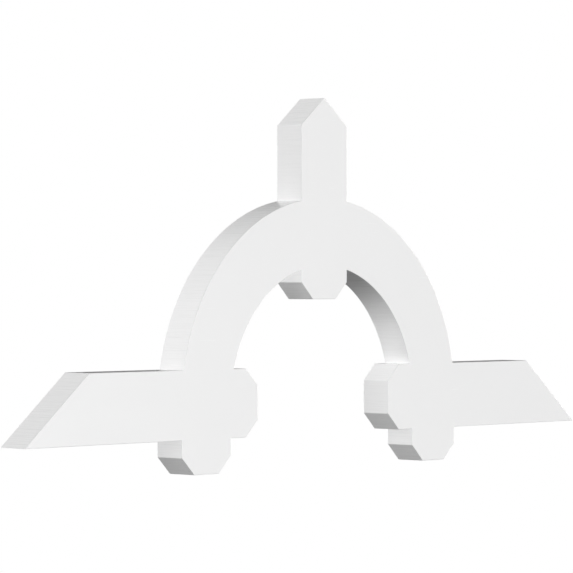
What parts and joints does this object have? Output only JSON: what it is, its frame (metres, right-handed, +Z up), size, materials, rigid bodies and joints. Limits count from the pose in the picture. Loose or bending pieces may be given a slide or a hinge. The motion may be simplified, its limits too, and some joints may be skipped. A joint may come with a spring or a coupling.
{
  "type": "gable bracket",
  "caption": "Flat gable bracket: a pointed king post on a round arch, with mitred side ties and clipped member ends, fixed to the wall under a roof peak.",
  "frame": {"origin": "on the back face, where the arch's centre line crosses the king post's centre line", "axes": "+X along the ties to the right seen from the front, +Y into the wall that the back face lies on, +Z up; the front looks towards -Y"},
  "size_m": [1.2184, 0.0508, 0.5585],
  "materials": {
    "white_pvc": "satin"
  },
  "bodies": {
    "root": {"gable_bracket": "white_pvc"}
  },
  "joints": []
}
